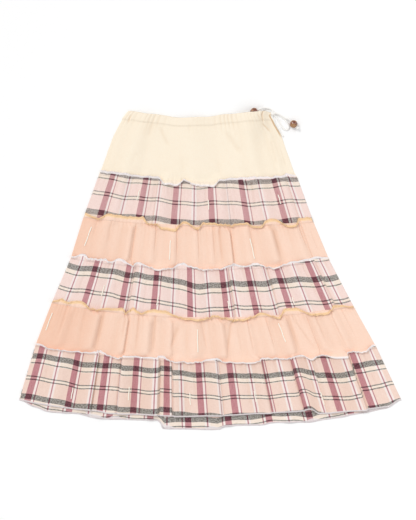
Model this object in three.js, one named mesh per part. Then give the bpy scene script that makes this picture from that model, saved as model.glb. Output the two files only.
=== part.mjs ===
// A tiered cotton-gauze skirt with a drawstring waist, laid flat on a table with its front up.
// Millimetres. +X runs across the skirt, +Y towards the waist, +Z up from the table.
// The origin is under the middle of the cloth. "across" runs 0 to 1 from the left side seam to the
// right one, and "down" runs 0 to 1 from a tier's upper seam to its lower one.
import * as THREE from "three";

// Cloth
const CLOTH = 1.2; // crinkled double gauze
const GAP = 0.3; // between pieces that touch
const SEAM_GAP = 0.3; // between one tier and the next
const CASING = 17; // height of the drawstring casing
const CASING_WALL = 2.4; // two layers of cloth and the cord between them
const PUFF = 1.5; // air between front and back
const RISE = 0.3; // part of a tier over which the folds of the tier above become its own
const SIDE = 0.045; // part of the width beside each side seam where the cloth lies flat

// Seams that run round the skirt, from the waist to the hem: both ends, and how far the middle sags
// below the line between them. The back hangs lower than the front by backDrop.
const SEAMS = [
  { left: [-187, 365.6], right: [138.8, 362], sag: 0, backDrop: 0 },
  { left: [-254.7, 220.2], right: [199.5, 211.7], sag: 13.7, backDrop: 4 },
  { left: [-290.4, 122], right: [236, 111.2], sag: 14.6, backDrop: 8 },
  { left: [-319.8, 27.3], right: [272.7, 22.7], sag: 22.6, backDrop: 12 },
  { left: [-363, -73.9], right: [328.4, -83.1], sag: 31, backDrop: 17 },
  { left: [-401.5, -174], right: [381.5, -178.6], sag: 34, backDrop: 22 },
  { left: [-438.4, -298.4], right: [438.4, -298.4], sag: 37, backDrop: 0 },
];
const YOKE = 1;
const TIERS = SEAMS.length - 1;

// Extra dip of an edge below its plain curve, in mm
const WAIST_DIP = [
  { across: 0, dip: 0 },
  { across: 0.16, dip: 6.5 },
  { across: 0.37, dip: 14.5 },
  { across: 0.54, dip: 12 },
  { across: 0.7, dip: 4.6 },
  { across: 0.86, dip: -1.3 },
  { across: 1, dip: 0 },
];
const FRONT_HEM_DIP = [
  { across: 0, dip: 0 },
  { across: 0.04, dip: 2 },
  { across: 0.165, dip: 3 },
  { across: 0.2, dip: 2 },
  { across: 0.236, dip: 5 },
  { across: 0.27, dip: 2.8 },
  { across: 0.33, dip: 2 },
  { across: 0.43, dip: 2.5 },
  { across: 0.5, dip: 0.3 },
  { across: 0.65, dip: -3.2 },
  { across: 0.73, dip: -2 },
  { across: 0.772, dip: -4.6 },
  { across: 0.787, dip: 7.5 },
  { across: 0.82, dip: 8.7 },
  { across: 0.965, dip: 11 },
  { across: 1, dip: 0 },
];
const BACK_HEM_DIP = [
  { across: 0, dip: 0 },
  { across: 0.04, dip: 10.7 },
  { across: 0.075, dip: 17 },
  { across: 0.15, dip: 13 },
  { across: 0.195, dip: 17.5 },
  { across: 0.235, dip: 18 },
  { across: 0.27, dip: 15.5 },
  { across: 0.366, dip: 13 },
  { across: 0.376, dip: 31.5 },
  { across: 0.45, dip: 30.5 },
  { across: 0.51, dip: 31.5 },
  { across: 0.525, dip: 30.5 },
  { across: 0.535, dip: 23.5 },
  { across: 0.58, dip: 22.5 },
  { across: 0.635, dip: 23.5 },
  { across: 0.665, dip: 19.5 },
  { across: 0.72, dip: 21.5 },
  { across: 0.762, dip: 24.5 },
  { across: 0.8, dip: 21.5 },
  { across: 0.9, dip: 17 },
  { across: 0.96, dip: 14 },
  { across: 1, dip: 0 },
];
const HEM_STEPS = [0.366, 0.376, 0.525, 0.535]; // where the back hem steps down and up again
// How far the yoke's side seams stand outside a straight line
const YOKE_LEFT = [
  { down: 0, out: 0 },
  { down: 0.05, out: 3 },
  { down: 0.11, out: 5.3 },
  { down: 0.27, out: 7 },
  { down: 0.4, out: 7.6 },
  { down: 0.6, out: 5.1 },
  { down: 0.75, out: 2.3 },
  { down: 0.91, out: 0.5 },
  { down: 1, out: 0 },
];
const YOKE_RIGHT = [
  { down: 0, out: 0 },
  { down: 0.05, out: -4.5 },
  { down: 0.15, out: -2.3 },
  { down: 0.35, out: 2.2 },
  { down: 0.61, out: -0.2 },
  { down: 0.91, out: -2.3 },
  { down: 1, out: 0 },
];

// Folds that run down each tier of the front, yoke first
const FOLDS = [
  [
    { across: 0.13, wide: 70, high: 3.5 },
    { across: 0.45, wide: 150, high: 4.5 },
    { across: 0.8, wide: 62, high: 4 },
    { across: 0.93, wide: 24, high: 2.5 },
  ],
  [
    { across: 0.12, wide: 42, high: 4 },
    { across: 0.23, wide: 36, high: 3 },
    { across: 0.34, wide: 44, high: 4.5 },
    { across: 0.47, wide: 52, high: 3.5 },
    { across: 0.6, wide: 46, high: 4 },
    { across: 0.71, wide: 38, high: 3 },
    { across: 0.82, wide: 40, high: 4.5 },
    { across: 0.92, wide: 28, high: 3 },
  ],
  [
    { across: 0.1, wide: 46, high: 3 },
    { across: 0.2, wide: 34, high: 7 },
    { across: 0.3, wide: 38, high: 4 },
    { across: 0.385, wide: 40, high: 5 },
    { across: 0.48, wide: 42, high: 4 },
    { across: 0.55, wide: 26, high: 3.5 },
    { across: 0.611, wide: 30, high: 6.5 },
    { across: 0.7, wide: 36, high: 4 },
    { across: 0.79, wide: 52, high: 7.5 },
    { across: 0.91, wide: 40, high: 4 },
  ],
  [
    { across: 0.12, wide: 56, high: 3 },
    { across: 0.225, wide: 36, high: 5 },
    { across: 0.36, wide: 60, high: 4 },
    { across: 0.48, wide: 58, high: 3.5 },
    { across: 0.585, wide: 36, high: 6 },
    { across: 0.722, wide: 50, high: 5 },
    { across: 0.85, wide: 44, high: 4 },
    { across: 0.925, wide: 30, high: 4 },
  ],
  [
    { across: 0.06, wide: 34, high: 3 },
    { across: 0.145, wide: 44, high: 7 },
    { across: 0.239, wide: 30, high: 5.5 },
    { across: 0.312, wide: 46, high: 7 },
    { across: 0.385, wide: 34, high: 5 },
    { across: 0.47, wide: 48, high: 5 },
    { across: 0.547, wide: 44, high: 7 },
    { across: 0.64, wide: 36, high: 4 },
    { across: 0.7, wide: 34, high: 4 },
    { across: 0.752, wide: 44, high: 7 },
    { across: 0.865, wide: 38, high: 5 },
    { across: 0.925, wide: 30, high: 4 },
  ],
  [
    { across: 0.09, wide: 50, high: 3 },
    { across: 0.165, wide: 38, high: 7.5 },
    { across: 0.275, wide: 40, high: 7 },
    { across: 0.34, wide: 46, high: 9 },
    { across: 0.42, wide: 34, high: 6 },
    { across: 0.512, wide: 44, high: 7 },
    { across: 0.64, wide: 46, high: 7.5 },
    { across: 0.767, wide: 36, high: 7 },
    { across: 0.83, wide: 40, high: 5 },
    { across: 0.89, wide: 44, high: 8 },
  ],
];

// The overlocked heading that stands outside each seam: where its free edge lies above the seam,
// or below it where the heading has flopped down
const HEADING_WALL = 1.6;
const HEADING_TALL = 9;
const STANDS = 0.6; // a heading that stands up is curled over to this part of its height
const HEADING_LIFT = { root: 0.7, edge: 1.2 }; // clearance over the rounded seam and the folds
const HEADINGS = [
  [
    { across: 0, up: 8.5 },
    { across: 0.1, up: 9 },
    { across: 0.2, up: 6.5 },
    { across: 0.29, up: 8 },
    { across: 0.34, up: -7 },
    { across: 0.39, up: -9 },
    { across: 0.43, up: 4 },
    { across: 0.49, up: -7.5 },
    { across: 0.57, up: -9 },
    { across: 0.605, up: 5 },
    { across: 0.68, up: 8 },
    { across: 0.78, up: 9 },
    { across: 0.87, up: 6.5 },
    { across: 0.93, up: 7 },
    { across: 0.96, up: 10 },
    { across: 1, up: 6.5 },
  ],
  [
    { across: 0, up: 8.5 },
    { across: 0.06, up: 1 },
    { across: 0.1, up: 13 },
    { across: 0.2, up: 11.5 },
    { across: 0.25, up: 13 },
    { across: 0.285, up: 0 },
    { across: 0.32, up: 0 },
    { across: 0.345, up: -10.5 },
    { across: 0.395, up: -12.5 },
    { across: 0.437, up: 9 },
    { across: 0.495, up: -7 },
    { across: 0.525, up: 7 },
    { across: 0.64, up: 2 },
    { across: 0.71, up: 6 },
    { across: 0.735, up: -3 },
    { across: 0.77, up: -5 },
    { across: 0.8, up: 9.5 },
    { across: 0.84, up: 12 },
    { across: 0.89, up: -7 },
    { across: 0.915, up: -6.5 },
    { across: 0.945, up: 10 },
    { across: 1, up: 9 },
  ],
  [
    { across: 0, up: 4 },
    { across: 0.045, up: 13 },
    { across: 0.07, up: 5.5 },
    { across: 0.13, up: 8 },
    { across: 0.15, up: 4 },
    { across: 0.185, up: 12.5 },
    { across: 0.23, up: 0 },
    { across: 0.255, up: 8 },
    { across: 0.34, up: -4.5 },
    { across: 0.39, up: 1 },
    { across: 0.43, up: 13 },
    { across: 0.46, up: 6 },
    { across: 0.51, up: -1 },
    { across: 0.56, up: 0 },
    { across: 0.63, up: 10.5 },
    { across: 0.68, up: 4 },
    { across: 0.71, up: 10 },
    { across: 0.785, up: -3.5 },
    { across: 0.86, up: 6.5 },
    { across: 0.965, up: 11.5 },
    { across: 1, up: 6.5 },
  ],
  [
    { across: 0, up: 4 },
    { across: 0.025, up: 10 },
    { across: 0.05, up: 7 },
    { across: 0.085, up: 13 },
    { across: 0.14, up: -1 },
    { across: 0.17, up: 5 },
    { across: 0.22, up: 8.5 },
    { across: 0.242, up: 1.5 },
    { across: 0.267, up: 12 },
    { across: 0.295, up: 3 },
    { across: 0.325, up: 12 },
    { across: 0.36, up: 12 },
    { across: 0.45, up: -4 },
    { across: 0.485, up: -6 },
    { across: 0.545, up: 4.5 },
    { across: 0.595, up: -7 },
    { across: 0.63, up: -6 },
    { across: 0.7, up: 7 },
    { across: 0.745, up: -6 },
    { across: 0.785, up: 13 },
    { across: 0.82, up: 11 },
    { across: 0.86, up: -6 },
    { across: 0.9, up: -9 },
    { across: 0.94, up: 8 },
    { across: 1, up: 1 },
  ],
  [
    { across: 0, up: 6 },
    { across: 0.05, up: 0 },
    { across: 0.15, up: 3 },
    { across: 0.18, up: 10 },
    { across: 0.24, up: -2 },
    { across: 0.27, up: 5.5 },
    { across: 0.335, up: 5 },
    { across: 0.37, up: 10 },
    { across: 0.4, up: -1 },
    { across: 0.46, up: -2.5 },
    { across: 0.525, up: 8 },
    { across: 0.56, up: -1.5 },
    { across: 0.62, up: -4 },
    { across: 0.665, up: 5 },
    { across: 0.75, up: 1 },
    { across: 0.785, up: 5 },
    { across: 0.81, up: -7 },
    { across: 0.84, up: 1.5 },
    { across: 0.885, up: -9.5 },
    { across: 0.93, up: 1.5 },
    { across: 0.956, up: -4.5 },
    { across: 1, up: 7.5 },
  ],
];

// Ripples of the back hem, where it shows below the front
const RIPPLES = [
  { across: 0.12, wide: 24, high: 3 },
  { across: 0.21, wide: 34, high: 4 },
  { across: 0.345, wide: 30, high: 5 },
  { across: 0.545, wide: 36, high: 4 },
  { across: 0.71, wide: 44, high: 4 },
  { across: 0.85, wide: 34, high: 3.5 },
];

// Drawstring: a soft round cord, tied in a bow at the right end of the waist
const CORD = 4;
const BEAD = 18;
const BEAD_HOLE = 4.8;
const END_KNOT = 6.6;
const KNOT = { at: [144.3, 361, 5.4], size: 10 };
const BEAD_LEFT = { at: [100.6, 364, CASING_WALL + GAP + BEAD / 2], along: [-0.91, -0.41, 0.04] };
const BEAD_RIGHT = { at: [191.2, 335.7, BEAD / 2 + GAP], along: [0.69, -0.72, 0] };
const BEAD_BULGE = { wide: 17, deep: 40, high: 18.6 }; // the front lifted over the left bead
const STRANDS = {
  drawstring_side: [
    [167.4, 308, 2.3],
    [158.6, 323.4, 2.3],
    [149.8, 338.6, 2.3],
    [145.2, 347.6, 2.3],
    [142.2, 351.8, 2.5],
    [141.8, 356, 3.2],
  ],
  drawstring_loop: [
    [146.7, 356.4, 2.7],
    [151.6, 352.6, 2.3],
    [155.6, 347.2, 2.3],
    [159.7, 339.1, 2.3],
    [164.6, 329.5, 2.3],
    [170.3, 324, 2.3],
    [174.6, 323.2, 2.3],
    [178.9, 325.4, 2.3],
    [181, 330.5, 2.3],
    [179.3, 335.8, 2.3],
    [175.4, 341.4, 2.3],
    [169.2, 348.1, 2.3],
    [162.5, 353.4, 2.3],
    [157, 357, 2.3],
    [149.6, 359.9, 2.8],
  ],
};
const TAILS = {
  drawstring_tail_left: {
    bead: BEAD_LEFT,
    route: [
      [143.3, 366.8, 5.4],
      [139.6, 370.6, 4.4],
      [132, 373, 3.4],
      [124.4, 373, 6],
    ],
  },
  drawstring_tail_right: {
    bead: BEAD_RIGHT,
    route: [
      [149.6, 361.6, 7.6],
      [156.6, 359.2, 7.4],
      [164.6, 354.8, 7.4],
      [172.6, 350, 8],
    ],
  },
};

const YOKE_CREAM = 0xfceedb;
const PLAID_PINK = 0xf2d8ce;
const PEACH = 0xfad4c0;
const THREAD_PALE = 0xf5e8ea;
const THREAD_BUFF = 0xf3dcb0;
const CORD_WHITE = 0xf2ece2;
const BEAD_BROWN = 0x8a5334;

const mix = (a, b, part) => a + (b - a) * part;
const smooth = (part) => {
  const p = Math.min(1, Math.max(0, part));
  return p * p * (3 - 2 * p);
};

// Value of a column of a table at a place between its rows
function between(rows, place, key, column) {
  const next = Math.max(1, rows.findIndex((row) => row[key] >= place));
  const [from, to] = [rows[next - 1], rows[next]];
  return mix(from[column], to[column], smooth((place - from[key]) / (to[key] - from[key])));
}

const edgeDips = (seam, isBack) => {
  if (seam === 0) return WAIST_DIP;
  if (seam === TIERS) return isBack ? BACK_HEM_DIP : FRONT_HEM_DIP;
  return null;
};

function seamPoint(seam, across, isBack) {
  const { left, right, sag, backDrop } = SEAMS[seam];
  const dips = edgeDips(seam, isBack);
  const drop = (sag + (isBack ? backDrop : 0)) * 4 * across * (1 - across);
  const dip = dips ? between(dips, across, "across", "dip") : 0;
  return [mix(left[0], right[0], across), mix(left[1], right[1], across) - drop - dip];
}

// A point of a tier seen from above
function tierPoint(tier, across, down, isBack) {
  const [topX, topY] = seamPoint(tier - 1, across, isBack);
  const [lowX, lowY] = seamPoint(tier, across, isBack);
  let x = mix(topX, lowX, down);
  if (tier === YOKE) {
    x -= between(YOKE_LEFT, down, "down", "out") * (1 - across) ** 4;
    x += between(YOKE_RIGHT, down, "down", "out") * across ** 4;
  }
  return [x, mix(topY, lowY, down)];
}

const tierLength = (tier) => SEAMS[tier - 1].left[1] - SEAMS[tier].left[1];
const seamWidth = (seam) => SEAMS[seam].right[0] - SEAMS[seam].left[0];

// Sum of a row of round folds at a place across a seam
function foldHeight(folds, across, width) {
  return folds.reduce((sum, { across: middle, wide, high }) => {
    const away = Math.abs(across - middle) * width;
    return sum + high * smooth(1 - (2 * away) / wide);
  }, 0);
}

function wallThickness(tier, down) {
  const casingEnd = CASING / tierLength(YOKE);
  const stitchStep = 0.02;
  const inCasing = tier === YOKE ? 1 - smooth((down - casingEnd) / stitchStep) : 0;
  return mix(CLOTH, CASING_WALL, inCasing);
}

const beadBulge = (x, y) => {
  const across = (x - BEAD_LEFT.at[0]) / BEAD_BULGE.wide;
  const down = (y - BEAD_LEFT.at[1]) / BEAD_BULGE.deep;
  return BEAD_BULGE.high * Math.exp(-(across ** 2 + down ** 2) / 2);
};

// Height of the middle of the front's wall above the table
function frontHeight(tier, across, down) {
  const side = smooth(Math.min(across, 1 - across) / SIDE);
  const own = smooth(down / RISE);
  const above = tier === YOKE ? 0 : foldHeight(FOLDS[tier - 2], across, seamWidth(tier - 1));
  const below = foldHeight(FOLDS[tier - 1], across, seamWidth(tier));
  const bulge = tier === YOKE ? beadBulge(...tierPoint(tier, across, down, false)) : 0;
  const wall = wallThickness(tier, down);
  return wall + GAP + wall / 2 + side * (PUFF + mix(above, below, own) + bulge);
}

function frontPoint(tier, across, down) {
  const [x, y] = tierPoint(tier, across, down, false);
  return new THREE.Vector3(x, y, frontHeight(tier, across, down));
}

// A closed wall between two faces given as functions of (across, down), seen from the upper one
function wallGeometry(acrosses, downs, upper, lower) {
  const columns = acrosses.length;
  const positions = [];
  for (const face of [upper, lower]) {
    for (const down of downs) {
      for (const across of acrosses) {
        positions.push(...face(across, down));
      }
    }
  }
  const index = [];
  const quad = (a, b, c, d) => index.push(a, b, c, a, c, d);
  const below = columns * downs.length;
  for (let row = 0; row < downs.length - 1; row++) {
    for (let column = 0; column < columns - 1; column++) {
      const a = row * columns + column;
      const b = a + 1;
      const d = a + columns;
      const e = d + 1;
      quad(a, d, e, b);
      quad(below + a, below + b, below + e, below + d);
      if (row === 0) quad(a, b, below + b, below + a);
      if (row === downs.length - 2) quad(e, d, below + d, below + e);
      if (column === 0) quad(d, a, below + a, below + d);
      if (column === columns - 2) quad(b, e, below + e, below + b);
    }
  }
  const geometry = new THREE.BufferGeometry();
  geometry.setAttribute("position", new THREE.Float32BufferAttribute(positions, 3));
  geometry.setIndex(index);
  geometry.computeVertexNormals();
  return geometry;
}

// Columns of a wall: evenly spaced ones, and those that the folds need
function columnsFor(even, folds, width) {
  const apart = 0.006;
  const parts = folds.flatMap(({ across, wide }) =>
    [-0.5, -0.18, 0.18, 0.5].map((step) => across + (step * wide) / width),
  );
  const inside = parts.filter((part) => part > apart && part < 1 - apart).sort((a, b) => a - b);
  const kept = [0];
  for (const part of inside) {
    if (part - kept.at(-1) >= apart) kept.push(part);
  }
  for (let step = 1; step < even; step++) {
    const part = step / even;
    if (kept.every((other) => Math.abs(other - part) > 2 * apart)) kept.push(part);
  }
  for (const sidePart of [SIDE / 2, 1 - SIDE / 2]) {
    if (kept.every((other) => Math.abs(other - sidePart) > apart)) kept.push(sidePart);
  }
  return [...kept, 1].sort((a, b) => a - b);
}

// Two lists of columns as one, with none of the second close to one of the first
function merged(columns, others) {
  const apart = 0.004;
  const far = others.filter((part) => columns.every((other) => Math.abs(other - part) > apart));
  return [...columns, ...far].sort((a, b) => a - b);
}

function downsFor(tier) {
  const trim = SEAM_GAP / 2 / tierLength(tier);
  const casingEnd = CASING / tierLength(YOKE);
  const yokeRows = [0.06, casingEnd, casingEnd + 0.02, 0.2, 0.4, 0.7];
  const inner = tier === YOKE ? yokeRows : [RISE / 2, RISE];
  return [tier === YOKE ? 0 : trim, ...inner, tier === TIERS ? 1 : 1 - trim];
}

// Columns of a front tier: those of its own folds, and those of the tier above
function frontColumns(tier) {
  const evenColumns = 12;
  const columns = columnsFor(evenColumns, FOLDS[tier - 1], seamWidth(tier));
  const above = tier === YOKE ? [] : columnsFor(1, FOLDS[tier - 2], seamWidth(tier - 1));
  return merged(columns, above);
}

function frontGeometry(tier) {
  const step = 1e-3;
  const face = (side) => (across, down) => {
    const here = frontPoint(tier, across, down);
    const alongX = frontPoint(tier, across + step, down).sub(frontPoint(tier, across - step, down));
    const alongY = frontPoint(tier, across, down - step).sub(frontPoint(tier, across, down + step));
    const normal = alongX.cross(alongY).normalize();
    return here.addScaledVector(normal, (side * wallThickness(tier, down)) / 2);
  };
  return wallGeometry(frontColumns(tier), downsFor(tier), face(1), face(-1));
}

function backLift(across, y) {
  const [, hemY] = seamPoint(TIERS, across, false);
  const clear = 2;
  const ease = 14;
  return foldHeight(RIPPLES, across, seamWidth(TIERS)) * smooth((hemY - clear - y) / ease);
}

function backGeometry(tier) {
  const isHem = tier === TIERS;
  const evenColumns = 16;
  const hemColumns = merged(columnsFor(evenColumns, RIPPLES, seamWidth(TIERS)), HEM_STEPS);
  const columns = isHem ? hemColumns : columnsFor(evenColumns, [], seamWidth(tier));
  const trim = SEAM_GAP / 2 / tierLength(tier);
  const downs = isHem ? [trim, 0.83, 0.91, 1] : downsFor(tier);
  const face = (side) => (across, down) => {
    const [x, y] = tierPoint(tier, across, down, true);
    const lift = isHem ? backLift(across, y) : 0;
    return new THREE.Vector3(x, y, lift + side * wallThickness(tier, down));
  };
  return wallGeometry(columns, downs, face(1), face(0));
}

// The heading's middle surface: "out" runs 0 to 1 from the seam to the free edge
function headingPoint(seam, across, out) {
  const up = between(HEADINGS[seam - 1], across, "across", "up");
  const tier = up > 0 ? seam : seam + 1;
  const down = up > 0 ? 1 - up / tierLength(tier) : -up / tierLength(tier);
  const seat = CLOTH / 2 + GAP + HEADING_WALL / 2;
  const root = frontPoint(seam, across, 1);
  root.z += seat + HEADING_LIFT.root;
  const edge = frontPoint(tier, across, down);
  const rise = STANDS * Math.sqrt(Math.max(0, HEADING_TALL ** 2 - up ** 2));
  edge.z += seat + HEADING_LIFT.edge + rise;
  return root.lerp(edge, out);
}

function headingGeometry(seam) {
  const waves = HEADINGS[seam - 1].map(({ across }) => across);
  const columns = merged(frontColumns(seam), waves);
  const step = 1e-3;
  const face = (side) => (across, fromEdge) => {
    const out = 1 - fromEdge;
    const at = Math.min(1 - step, Math.max(step, across));
    const here = headingPoint(seam, across, out);
    const alongX = headingPoint(seam, at + step, out).sub(headingPoint(seam, at - step, out));
    const outwards = headingPoint(seam, at, 1).sub(headingPoint(seam, at, 0));
    const normal = alongX.cross(outwards).normalize();
    return here.addScaledVector(normal, (side * HEADING_WALL) / 2);
  };
  return wallGeometry(columns, [0, 1], face(1), face(-1));
}

// A round cord along a smooth line through a list of points
function cordGeometry(points) {
  const route = new THREE.CatmullRomCurve3(points, false, "centripetal");
  const quarterSegments = 4; // gives a section of 8 sides
  const section = new THREE.Shape().absarc(0, 0, CORD / 2, 0, 2 * Math.PI);
  return new THREE.ExtrudeGeometry(section, {
    steps: Math.ceil(route.getLength() / (2 * CORD)) + 4,
    curveSegments: quarterSegments,
    extrudePath: route,
  });
}

const vector = (numbers) => new THREE.Vector3(...numbers);

// Places along a bead's hole, counted from its middle
function alongBead({ at, along }, distance) {
  return vector(at).addScaledVector(vector(along).normalize(), distance);
}

function tailPoints({ bead, route }) {
  const end = BEAD / 2 + GAP;
  const through = [-end - 8, -end, 0, end - 0.1];
  return [...route.map(vector), ...through.map((distance) => alongBead(bead, distance))];
}

// A turned wooden ball with a hole for the cord, its axis along Y
function beadGeometry() {
  const arcs = 12;
  const hole = BEAD_HOLE / 2;
  const mouth = Math.acos(hole / (BEAD / 2));
  const profile = [];
  for (let arc = 0; arc <= arcs; arc++) {
    const angle = mix(-mouth, mouth, arc / arcs);
    profile.push(new THREE.Vector2(Math.cos(angle), Math.sin(angle)).multiplyScalar(BEAD / 2));
  }
  profile.push(profile[0].clone());
  return new THREE.LatheGeometry(profile, 20);
}

const group = new THREE.Group();

function addPiece(name, geometry, color, roughness = 0.95) {
  const material = new THREE.MeshStandardMaterial({ color, roughness, metalness: 0 });
  const mesh = new THREE.Mesh(geometry, material);
  mesh.name = name;
  group.add(mesh);
  return mesh;
}

const tierName = (tier) => (tier === YOKE ? "yoke" : `tier_${tier}`);
const tierColor = (tier) => {
  if (tier === YOKE) return YOKE_CREAM;
  return tier % 2 ? PEACH : PLAID_PINK;
};

for (let tier = YOKE; tier <= TIERS; tier++) {
  addPiece(`${tierName(tier)}_back`, backGeometry(tier), tierColor(tier));
  addPiece(`${tierName(tier)}_front`, frontGeometry(tier), tierColor(tier));
}
for (let seam = 1; seam < TIERS; seam++) {
  addPiece(`seam_heading_${seam}`, headingGeometry(seam), seam % 2 ? THREAD_PALE : THREAD_BUFF);
}

for (const [name, points] of Object.entries(STRANDS)) {
  addPiece(name, cordGeometry(points.map(vector)), CORD_WHITE);
}
for (const [name, tail] of Object.entries(TAILS)) {
  const side = name.split("_").at(-1);
  addPiece(name, cordGeometry(tailPoints(tail)), CORD_WHITE);
  const bead = addPiece(`bead_${side}`, beadGeometry(), BEAD_BROWN, 0.6);
  bead.position.set(...tail.bead.at);
  bead.quaternion.setFromUnitVectors(new THREE.Vector3(0, 1, 0), vector(tail.bead.along).normalize());
  const knot = addPiece(`end_knot_${side}`, new THREE.SphereGeometry(END_KNOT / 2, 12, 8), CORD_WHITE);
  knot.position.copy(alongBead(tail.bead, BEAD / 2 + 2 * GAP + END_KNOT / 2));
}
const bow = addPiece("bow_knot", new THREE.SphereGeometry(KNOT.size / 2, 16, 10), CORD_WHITE);
bow.position.set(...KNOT.at);

export default group;
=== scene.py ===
# A tiered gauze skirt with a drawstring waist, laid flat with its front up. Metres, in the frame of
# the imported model: +X across the skirt to the bow, +Y to the waist, +Z up from the table.
import math
from collections import namedtuple

import bpy
import numpy as np
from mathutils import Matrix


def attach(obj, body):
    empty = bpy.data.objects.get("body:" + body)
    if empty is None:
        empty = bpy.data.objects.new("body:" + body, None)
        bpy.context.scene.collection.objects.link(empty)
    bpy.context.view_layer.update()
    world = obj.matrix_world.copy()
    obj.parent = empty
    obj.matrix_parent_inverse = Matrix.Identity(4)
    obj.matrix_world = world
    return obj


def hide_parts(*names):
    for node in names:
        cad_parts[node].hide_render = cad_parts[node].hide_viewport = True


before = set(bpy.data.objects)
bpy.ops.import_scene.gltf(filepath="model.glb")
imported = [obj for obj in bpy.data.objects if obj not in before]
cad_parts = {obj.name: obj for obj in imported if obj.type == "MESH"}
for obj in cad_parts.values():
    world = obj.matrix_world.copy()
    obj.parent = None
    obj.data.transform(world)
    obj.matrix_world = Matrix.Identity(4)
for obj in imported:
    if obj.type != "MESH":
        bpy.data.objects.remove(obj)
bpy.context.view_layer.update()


# The camera hangs straight above the cloth with a long lens, as for a catalogue picture. The photo
# is 520 pixels tall, and a pixel of it is 2.3 mm of cloth.
PHOTO_TALL = 520
CLOTH_PER_PIXEL = 0.0023
PHOTO_MIDDLE = (-0.0052, 0.0238)
CAMERA_ABOVE = 4.0
FILM_TALL = 36.0

lens = bpy.data.cameras.new("camera")
lens.sensor_fit = "VERTICAL"
lens.sensor_height = FILM_TALL
lens.lens = FILM_TALL * CAMERA_ABOVE / (PHOTO_TALL * CLOTH_PER_PIXEL)
lens.clip_end = 20
camera = bpy.data.objects.new("camera", lens)
camera.location = (*PHOTO_MIDDLE, CAMERA_ABOVE)
bpy.context.collection.objects.link(camera)
bpy.context.scene.camera = camera


# The drawstring is a soft cotton cord 4 mm thick, twisted from three strands. It runs in the
# casing, comes out at the right end of the waist and is tied there in a bow with beaded tails.
CORD_THICK = 0.004
STRANDS = 3
TWIST = 0.011  # length of one turn of the strands


def in_metres(*points):
    """Points that are given in millimetres."""
    return [tuple(round(value / 1000, 5) for value in point) for point in points]


# Where each stretch runs, in the order of its points; the beads are threaded on the tails' ends
SIDE_STRETCH = in_metres(
    (167.4, 308, 2.3), (158.6, 323.4, 2.3), (149.8, 338.6, 2.3), (145.2, 347.6, 2.3),
    (142.2, 351.8, 2.5), (142.2, 356, 3.2), (143.2, 358.6, 4.2),
)
LOOP = in_metres(
    (145.6, 359, 4), (146.7, 356.4, 2.7), (151.6, 352.6, 2.3), (155.6, 347.2, 2.3),
    (159.7, 339.1, 2.3), (164.6, 329.5, 2.3), (170.3, 324, 2.3), (174.6, 323.2, 2.3),
    (178.9, 325.4, 2.3), (181, 330.5, 2.3), (179.3, 335.8, 2.3), (175.4, 341.4, 2.3),
    (169.2, 348.1, 2.3), (162.5, 353.4, 2.3), (157, 357, 2.3), (149.6, 359.9, 2.8),
    (146.8, 360.2, 3.8),
)
LEFT_TAIL = in_metres(
    (143.6, 364, 5.4), (143.3, 366.8, 5.4), (139.6, 370.6, 4.4), (132, 373, 3.4), (124.4, 373, 6),
)
RIGHT_TAIL = in_metres(
    (146.8, 361.2, 6.8), (149.6, 361.6, 7.6), (156.6, 359.2, 7.4), (164.6, 354.8, 7.4),
    (172.6, 350, 8),
)
BEAD = 0.018
BEAD_SEAT = BEAD / 2 + 0.0003
Bead = namedtuple("Bead", "middle along")
LEFT_BEAD = Bead((0.1006, 0.3640, 0.0117), (-0.91, -0.41, 0.04))
RIGHT_BEAD = Bead((0.1912, 0.3357, BEAD_SEAT), (0.69, -0.72, 0.0))
Tail = namedtuple("Tail", "side route bead length")
TAILS = [Tail("left", LEFT_TAIL, LEFT_BEAD, 0.0625), Tail("right", RIGHT_TAIL, RIGHT_BEAD, 0.064)]


def unit(vector):
    return np.array(vector, float) / np.linalg.norm(vector)


def along_bead(bead, distance):
    return np.array(bead.middle) + distance * unit(bead.along)


def threaded(tail):
    """A tail's points with those of its straight run through the bead to the end knot."""
    before, beyond = 0.008, 0.0015
    run = [-BEAD_SEAT - before, -BEAD_SEAT, 0, BEAD_SEAT + beyond]
    return [*tail.route, *(along_bead(tail.bead, distance) for distance in run)]


def smooth_line(points, step):
    """Points a step apart on a smooth line through the given ones."""
    p = np.array(points, float)
    p = np.vstack([2 * p[0] - p[1], p, 2 * p[-1] - p[-2]])
    line = []
    for a, b, c, d in zip(p, p[1:], p[2:], p[3:]):
        ab, bc, cd = (np.linalg.norm(q - r) ** 0.5 for q, r in ((b, a), (c, b), (d, c)))
        leave = bc * ((b - a) / ab - (c - a) / (ab + bc) + (c - b) / bc)
        arrive = bc * ((c - b) / bc - (d - b) / (bc + cd) + (d - c) / cd)
        t = np.linspace(0, 1, 24, endpoint=False)[:, None]
        line.append(
            b + t * leave + t**2 * (3 * (c - b) - 2 * leave - arrive)
            + t**3 * (2 * (b - c) + leave + arrive)
        )
    line = np.vstack([*line, p[-2:-1]])
    run = np.concatenate([[0], np.cumsum(np.linalg.norm(np.diff(line, axis=0), axis=1))])
    places = np.linspace(0, run[-1], max(2, round(run[-1] / step)))
    return np.stack([np.interp(places, run, line[:, axis]) for axis in range(3)], axis=1)


def framed(line, closed=False):
    """Two directions square to a line at each of its points, turned as little as may be."""
    ahead = np.roll(line, -1, 0) - np.roll(line, 1, 0) if closed else np.gradient(line, axis=0)
    ahead /= np.linalg.norm(ahead, axis=1)[:, None]
    side = np.cross(ahead[0], (0, 0, 1) if abs(ahead[0][2]) < 0.9 else (1, 0, 0))
    sides = []
    for forward in ahead:
        side = unit(side - forward * side.dot(forward))
        sides.append(side)
    sides = np.array(sides)
    return sides, np.cross(ahead, sides)


def link(name, mesh, *materials):
    for material in materials:
        mesh.materials.append(material)
    piece = bpy.data.objects.new(name, mesh)
    bpy.context.collection.objects.link(piece)
    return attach(piece, "root") or piece


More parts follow.
